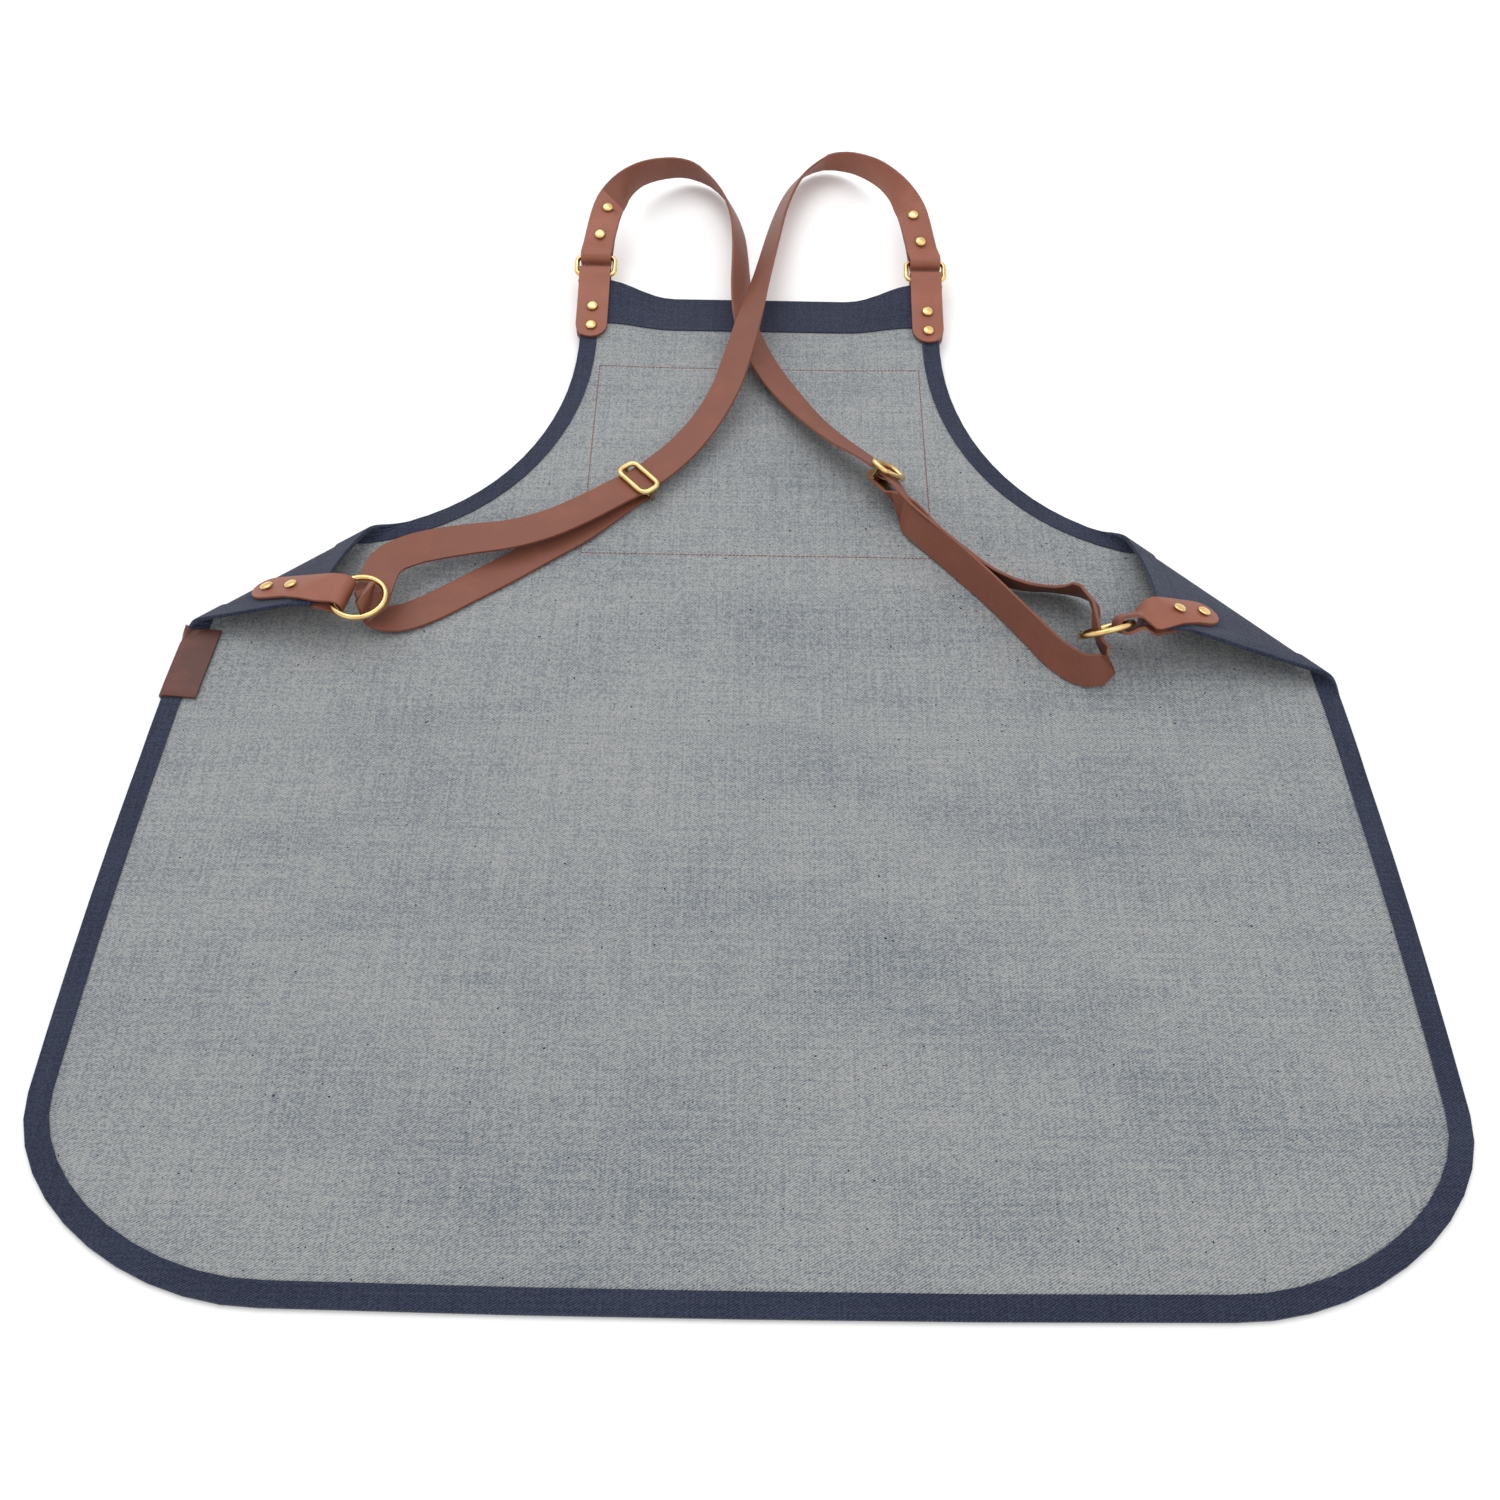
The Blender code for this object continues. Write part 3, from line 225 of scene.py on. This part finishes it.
def denim_group():
    """Twill lines, slubs and dark flecks, as a colour between two thread colours and a height."""
    group, start, end = new_group(
        "Denim weave",
        [
            ("Coordinates", "NodeSocketVector", (0, 0, 0)),
            ("Weft", "NodeSocketColor", (1, 1, 1, 1)),
            ("Warp", "NodeSocketColor", (0, 0, 0, 1)),
            ("Flecks", "NodeSocketFloat", 1.0),
        ],
        [("Color", "NodeSocketColor"), ("Height", "NodeSocketFloat")],
    )
    coords = start.outputs["Coordinates"]
    lines = ribs(group, coords, 0.00125, math.radians(30))
    across = noise(group, coords, 60, 3, (0.25, 16, 1))
    down = noise(group, coords, 60, 3, (16, 0.25, 1))
    cloudy = noise(group, coords, 9, 4, (0.6, 1.5, 1))
    grain = noise(group, coords, 650, 2)
    dots = noise(group, coords, 420, 1)
    speck = ramp(group, dots, 0.745, 0.775)
    slub = math_node(group, "ADD", across, down)
    slub = ramp(group, slub, 0.72, 1.25)
    twill = math_node(group, "MULTIPLY", ramp(group, lines, 0.35, 0.85), 0.50)
    total = math_node(group, "ADD", twill, math_node(group, "MULTIPLY", slub, 0.26))
    total = math_node(group, "ADD", total, math_node(group, "MULTIPLY", ramp(group, grain, 0.3, 0.7), 0.46))
    total = math_node(group, "ADD", total, math_node(group, "MULTIPLY", ramp(group, cloudy, 0.35, 0.7), 0.16))
    total = math_node(group, "SUBTRACT", total, 0.26, clamp=True)
    colour = mixed(group, total, start.outputs["Weft"], start.outputs["Warp"])
    fleck = math_node(group, "MULTIPLY", speck, start.outputs["Flecks"])
    colour = mixed(group, fleck, colour, (0.010, 0.013, 0.022, 1))
    group.links.new(colour, end.inputs["Color"])
    height = math_node(group, "ADD", lines, math_node(group, "MULTIPLY", grain, 0.6))
    group.links.new(height, end.inputs["Height"])
    return group


def leather_group():
    """Pores, fine creases and cloudy dye, as a colour and a height."""
    group, start, end = new_group(
        "Leather grain",
        [
            ("Coordinates", "NodeSocketVector", (0, 0, 0)),
            ("Dye", "NodeSocketColor", (1, 1, 1, 1)),
            ("Worn", "NodeSocketColor", (1, 1, 1, 1)),
            ("Nap", "NodeSocketFloat", 0.0),
        ],
        [("Color", "NodeSocketColor"), ("Height", "NodeSocketFloat"), ("Roughness", "NodeSocketFloat")],
    )
    coords = start.outputs["Coordinates"]
    cells = group.nodes.new("ShaderNodeTexVoronoi")
    cells.feature = "DISTANCE_TO_EDGE"
    cells.inputs["Scale"].default_value = 1400
    group.links.new(coords, cells.inputs["Vector"])
    pores = ramp(group, cells.outputs["Distance"], 0.0, 0.22)
    cloud = noise(group, coords, 45, 4)
    fine = noise(group, coords, 700, 3)
    worn = ramp(group, cloud, 0.45, 0.80)
    fuzz = math_node(group, "MULTIPLY", fine, start.outputs["Nap"])
    amount = math_node(group, "ADD", math_node(group, "MULTIPLY", worn, 0.45), fuzz, clamp=True)
    colour = mixed(group, amount, start.outputs["Dye"], start.outputs["Worn"])
    dark = mixed(group, 0.80, (0, 0, 0, 1), colour)
    colour = mixed(group, pores, dark, colour)
    group.links.new(colour, end.inputs["Color"])
    height = math_node(group, "ADD", math_node(group, "MULTIPLY", pores, 0.6), fine)
    group.links.new(height, end.inputs["Height"])
    rough = math_node(group, "ADD", 0.36, math_node(group, "MULTIPLY", fine, 0.16))
    rough = math_node(group, "ADD", rough, math_node(group, "MULTIPLY", start.outputs["Nap"], 0.25))
    group.links.new(rough, end.inputs["Roughness"])
    return group


def blank(name):
    material = bpy.data.materials.new(name)
    material.use_nodes = True
    tree = material.node_tree
    coords = tree.nodes.new("ShaderNodeTexCoord").outputs["Object"]
    return material, tree, tree.nodes["Principled BSDF"], coords


def bumped(tree, height, shader, distance, strength=1.0):
    bump = tree.nodes.new("ShaderNodeBump")
    bump.inputs["Distance"].default_value = distance
    bump.inputs["Strength"].default_value = strength
    tree.links.new(height, bump.inputs["Height"])
    tree.links.new(bump.outputs[0], shader.inputs["Normal"])


def cloth_material(name, weft, warp, flecks):
    material, tree, shader, coords = blank(name)
    weave = tree.nodes.new("ShaderNodeGroup")
    weave.node_tree = bpy.data.node_groups["Denim weave"]
    weave.inputs["Weft"].default_value = (*weft, 1)
    weave.inputs["Warp"].default_value = (*warp, 1)
    weave.inputs["Flecks"].default_value = flecks
    tree.links.new(coords, weave.inputs["Coordinates"])
    tree.links.new(weave.outputs["Color"], shader.inputs["Base Color"])
    bumped(tree, weave.outputs["Height"], shader, 0.00012, 0.8)
    shader.inputs["Roughness"].default_value = 0.92
    shader.inputs["Sheen Weight"].default_value = 0.15
    shader.inputs["Specular IOR Level"].default_value = 0.2
    return material


def leather_material(name, dye, worn, nap):
    material, tree, shader, coords = blank(name)
    grain = tree.nodes.new("ShaderNodeGroup")
    grain.node_tree = bpy.data.node_groups["Leather grain"]
    grain.inputs["Dye"].default_value = (*dye, 1)
    grain.inputs["Worn"].default_value = (*worn, 1)
    grain.inputs["Nap"].default_value = nap
    tree.links.new(coords, grain.inputs["Coordinates"])
    tree.links.new(grain.outputs["Color"], shader.inputs["Base Color"])
    tree.links.new(grain.outputs["Roughness"], shader.inputs["Roughness"])
    bumped(tree, grain.outputs["Height"], shader, 0.00010, 0.7)
    shader.inputs["Specular IOR Level"].default_value = 0.4
    return material


def brass_material():
    material, tree, shader, coords = blank("Polished brass")
    cloud = noise(tree, coords, 120, 3)
    scratch = noise(tree, coords, 500, 2, (1, 12, 1), 0.6)
    tone = mixed(tree, ramp(tree, cloud, 0.3, 0.75), (0.860, 0.610, 0.270, 1), (0.720, 0.460, 0.180, 1))
    tree.links.new(tone, shader.inputs["Base Color"])
    rough = math_node(tree, "ADD", 0.14, math_node(tree, "MULTIPLY", scratch, 0.16))
    tree.links.new(rough, shader.inputs["Roughness"])
    bumped(tree, scratch, shader, 0.00003, 0.5)
    shader.inputs["Metallic"].default_value = 1.0
    return material


def thread_material(colour):
    material, tree, shader, coords = blank("Thread")
    twist = noise(tree, coords, 2500, 1)
    deep = tuple(0.55 * c for c in colour)
    tone = mixed(tree, twist, (*deep, 1), (*colour, 1))
    tree.links.new(tone, shader.inputs["Base Color"])
    bumped(tree, twist, shader, 0.0001)
    shader.inputs["Roughness"].default_value = 0.75
    return material


# ---- Mesh helpers ----


def joined_copy(name):
    """The node's mesh as one welded bmesh."""
    bm = bmesh.new()
    bm.from_mesh(frame["nodes"][name].data)
    bmesh.ops.remove_doubles(bm, verts=bm.verts[:], dist=MERGE)
    return bm


def spread_from(seed, limit):
    """The faces reached from one face without crossing an edge sharper than the limit."""
    found, waiting = {seed}, [seed]
    while waiting:
        face = waiting.pop()
        for edge in face.edges:
            for other in edge.link_faces:
                if other not in found and face.normal.angle(other.normal, 0) < limit:
                    found.add(other)
                    waiting.append(other)
    return found


def gridded(bm, spacing):
    """Cuts the mesh along an even grid, so that its shading follows each small part of it."""
    for axis in range(2):
        low = min(v.co[axis] for v in bm.verts)
        high = max(v.co[axis] for v in bm.verts)
        normal = Vector((axis == 0, axis == 1, 0))
        for i in range(1, int((high - low) / spacing)):
            bmesh.ops.bisect_plane(
                bm, geom=[*bm.verts, *bm.edges, *bm.faces], dist=1e-6,
                plane_co=normal * (low + i * spacing), plane_no=normal,
            )


def two_sided(bm, seed, back):
    """Gives the side that holds the seed slot 0, the far side slot 1 and the edges slot 2."""
    near = spread_from(seed, SAME_SIDE)
    far = spread_from(back, SAME_SIDE)
    for face in bm.faces:
        face.material_index = 0 if face in near else 1 if face in far else 2
        face.smooth = True


def largest_flat(bm, way):
    """The largest face clear of the rolled corners that faces up, or down with way at -1."""

    def wanted(face):
        centre = face.calc_center_median()
        return way * face.normal.z > 0.9 and abs(centre.x) < 0.3 and centre.y < 0.2

    return max(filter(wanted, bm.faces), key=lambda face: face.calc_area())


def finished(name, bm, materials, sharp=40.0):
    mesh = bpy.data.meshes.new(name)
    bm.to_mesh(mesh)
    bm.free()
    for material in materials:
        mesh.materials.append(material)
    mesh.set_sharp_from_angle(angle=math.radians(sharp))
    piece = bpy.data.objects.new(name, mesh)
    bpy.context.scene.collection.objects.link(piece)
    return piece


def softened(piece, width, segments=2):
    bevel = piece.modifiers.new("Edge", "BEVEL")
    bevel.width, bevel.segments = width, segments
    bevel.limit_method, bevel.angle_limit = "ANGLE", SAME_SIDE
    bevel.harden_normals = False
    return piece


def stitches(name, path, length, thick, material):
    """A run of thread stitches along a path, each a small rounded bar half sunk into the cloth."""
    up = Vector((0, 0, 1))
    bm = bmesh.new()
    total = sum((b - a).length for a, b in zip(path, path[1:]))
    marks, run = [], 0.0
    count = int(total / length)
    spots = [(i + 0.5) * total / count for i in range(count)]
    for a, b in zip(path, path[1:]):
        step = (b - a).length
        while spots and spots[0] <= run + step:
            marks.append((a.lerp(b, (spots.pop(0) - run) / step), (b - a).normalized()))
        run += step
    for place, ahead in marks:
        turn = Matrix((ahead, up.cross(ahead).normalized(), up)).transposed().to_4x4()
        made = bmesh.ops.create_cube(bm, size=1.0)
        shape = Matrix.Diagonal((length * STITCH_SHARE, thick, thick * 0.8, 1))
        bmesh.ops.transform(bm, matrix=Matrix.Translation(place) @ turn @ shape, verts=made["verts"])
    for face in bm.faces:
        face.smooth = True
    bmesh.ops.bevel(
        bm, geom=bm.edges[:], offset=thick * 0.28, segments=1, profile=0.5, affect="EDGES", material=-1
    )
    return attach(finished(name, bm, [material]), "apron")


# ---- Operators ----


class APRON_OT_materials(bpy.types.Operator):
    """Mixes the denim, leather, brass and thread."""

    bl_idname = "apron.materials"
    bl_label = "Materials"

    def execute(self, context):
        hues = context.scene.apron_colours
        denim_group()
        leather_group()
        cloth_material("Denim inside", hues.inside, hues.warp, 1.0)
        cloth_material("Denim face", hues.face, hues.rib, 0.0)
        leather_material("Leather grain side", hues.leather, tuple(1.35 * c for c in hues.leather), 0.0)
        leather_material("Leather edge", tuple(0.7 * c for c in hues.leather), tuple(hues.leather), 0.2)
        leather_material("Patch leather", (0.085, 0.026, 0.018), (0.20, 0.055, 0.032), 0.0)
        brass_material()
        thread_material(tuple(hues.thread))
        return {"FINISHED"}


class APRON_OT_cloth(bpy.types.Operator):
    """Makes the denim body, facing, panels and binding."""

    bl_idname = "apron.cloth"
    bl_label = "Cloth"

    def execute(self, context):
        inside = bpy.data.materials["Denim inside"]
        face = bpy.data.materials["Denim face"]
        for name, (flat, area) in CLOTH.items():
            bm = joined_copy(name)
            if name == "body_panel":
                two_sided(bm, largest_flat(bm, 1), largest_flat(bm, -1))
                gridded(bm, CLOTH_GRID)
                looks = [inside, face, face]
            else:
                for each in bm.faces:
                    each.material_index, each.smooth = 0, True
                looks = [face]
            piece = finished("cloth_" + name, bm, looks, 35.0)
            softened(piece, CLOTH_EDGE)
            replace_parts(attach(piece, "apron"), name)
        return {"FINISHED"}


class APRON_OT_leather(bpy.types.Operator):
    """Makes the straps, the tabs and the edge patch."""

    bl_idname = "apron.leather"
    bl_label = "Leather"

    def execute(self, context):
        edge = context.scene.apron_sizes.edge
        grain = bpy.data.materials["Leather grain side"]
        rim = bpy.data.materials["Leather edge"]
        for name in STRAPS + TABS:
            bm = joined_copy(name)
            spot = max(bm.faces, key=lambda f: f.calc_area())
            up = spot.normal.copy()
            across = [f for f in bm.faces if f.normal.dot(up) < -0.95]
            behind = spot.calc_center_median() - LEATHER_THICK * up
            under = min(across, key=lambda f: (f.calc_center_median() - behind).length)
            two_sided(bm, spot, under)
            piece = finished("leather_" + name, bm, [grain, grain, rim], 50.0)
            softened(piece, edge, 3)
            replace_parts(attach(piece, "apron"), name)
        bm = joined_copy("edge_patch")
        for each in bm.faces:
            each.smooth = True
        piece = finished("leather_edge_patch", bm, [bpy.data.materials["Patch leather"]])
        softened(piece, edge * PATCH_EDGE_SHARE, 3)
        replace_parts(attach(piece, "apron"), "edge_patch")
        return {"FINISHED"}


class APRON_OT_brass(bpy.types.Operator):
    """Polishes the rings, the rivets and the sliders."""

    bl_idname = "apron.brass"
    bl_label = "Brass"

    def execute(self, context):
        brass = bpy.data.materials["Polished brass"]
        for name in BRASS:
            bm = joined_copy(name)
            for each in bm.faces:
                each.smooth = True
            piece = finished("brass_" + name, bm, [brass], 60.0)
            body = name + "_body" if name + "_body" in frame["bodies"] else "apron"
            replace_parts(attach(piece, body), name)
        return {"FINISHED"}


class APRON_OT_stitching(bpy.types.Operator):
    """Sews the pocket outline through the bib."""

    bl_idname = "apron.stitching"
    bl_label = "Stitching"

    def execute(self, context):
        sizes = context.scene.apron_sizes
        low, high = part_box("chest_panel")
        left, right = low.x + STITCH_INSET, high.x - STITCH_INSET
        foot, head = low.y + STITCH_INSET, high.y - STITCH_INSET
        corners = [(left, head), (left, foot), (right, foot), (right, head), (left, head)]
        cloth = joined_copy("body_panel")
        surface = BVHTree.FromBMesh(cloth)
        cloth.free()
        path = []
        for a, b in zip(corners, corners[1:]):
            for i in range(STITCH_STEPS):
                p = Vector(a).lerp(Vector(b), i / STITCH_STEPS)
                place = surface.ray_cast(Vector((p.x, p.y, 0.1)), Vector((0, 0, -1)))[0]
                path.append(place + Vector((0, 0, STITCH_LIFT)))
        path.append(path[0].copy())
        thread = bpy.data.materials["Thread"]
        stitches("stitches_pocket", path, sizes.stitch, sizes.thread, thread)
        return {"FINISHED"}


class APRON_OT_stage(bpy.types.Operator):
    """Sets the floor, the lights and the camera."""

    bl_idname = "apron.stage"
    bl_label = "Stage"

    def execute(self, context):
        scene = context.scene
        bm = bmesh.new()
        bmesh.ops.create_grid(bm, x_segments=1, y_segments=1, size=6)
        bmesh.ops.translate(bm, verts=bm.verts[:], vec=(0, 0, -FLOOR_DROP))
        material, _, shader, _ = blank("Floor")
        shader.inputs["Base Color"].default_value = (0.93, 0.93, 0.93, 1)
        shader.inputs["Roughness"].default_value = 0.9
        floor = finished("floor", bm, [material])
        world = scene.world or bpy.data.worlds.new("World")
        scene.world = world
        world.use_nodes = True
        back = world.node_tree.nodes["Background"]
        back.inputs["Color"].default_value = (1, 1, 1, 1)
        back.inputs["Strength"].default_value = 0.95
        scene.view_settings.view_transform = "Standard"
        for name, place, size, power in LAMPS:
            lamp = bpy.data.lights.new(name, "AREA")
            lamp.shape, lamp.size, lamp.energy = "SQUARE", size, power
            light = bpy.data.objects.new(name, lamp)
            light.location = place
            aim = (Vector((0, 0, 0)) - Vector(place)).to_track_quat("-Z", "Y")
            light.rotation_euler = aim.to_euler()
            scene.collection.objects.link(light)
        data = bpy.data.cameras.new("Camera")
        data.sensor_width, data.lens = 36, 36
        camera = bpy.data.objects.new("Camera", data)
        turn = Matrix((VIEW_RIGHT, VIEW_UP, -VIEW_AHEAD)).transposed().to_4x4()
        camera.matrix_world = Matrix.Translation(VIEW_PLACE) @ turn
        scene.collection.objects.link(camera)
        scene.camera = camera
        return {"FINISHED"}


class APRON_PT_panel(bpy.types.Panel):
    """Steps that dress the apron."""

    bl_label = "Butcher Apron"
    bl_idname = "APRON_PT_panel"
    bl_space_type = "VIEW_3D"
    bl_region_type = "UI"
    bl_category = "Apron"

    def draw(self, context):
        layout = self.layout
        for step in STEPS:
            layout.operator(step.bl_idname)
        for label in ("inside", "warp", "face", "rib", "leather", "thread"):
            layout.prop(context.scene.apron_colours, label)
        for label in ("stitch", "thread", "edge"):
            layout.prop(context.scene.apron_sizes, label)


STEPS = (
    APRON_OT_materials, APRON_OT_cloth, APRON_OT_leather, APRON_OT_brass, APRON_OT_stitching,
    APRON_OT_stage,
)
CLASSES = (ApronColours, ApronSizes, *STEPS, APRON_PT_panel)


def register():
    for cls in CLASSES:
        bpy.utils.register_class(cls)
    bpy.types.Scene.apron_colours = bpy.props.PointerProperty(type=ApronColours)
    bpy.types.Scene.apron_sizes = bpy.props.PointerProperty(type=ApronSizes)


def unregister():
    del bpy.types.Scene.apron_sizes
    del bpy.types.Scene.apron_colours
    for cls in reversed(CLASSES):
        bpy.utils.unregister_class(cls)


def main():
    register()
    bpy.ops.apron.materials()
    bpy.ops.apron.cloth()
    bpy.ops.apron.leather()
    bpy.ops.apron.brass()
    bpy.ops.apron.stitching()
    bpy.ops.apron.stage()


if __name__ == "__main__":
    main()
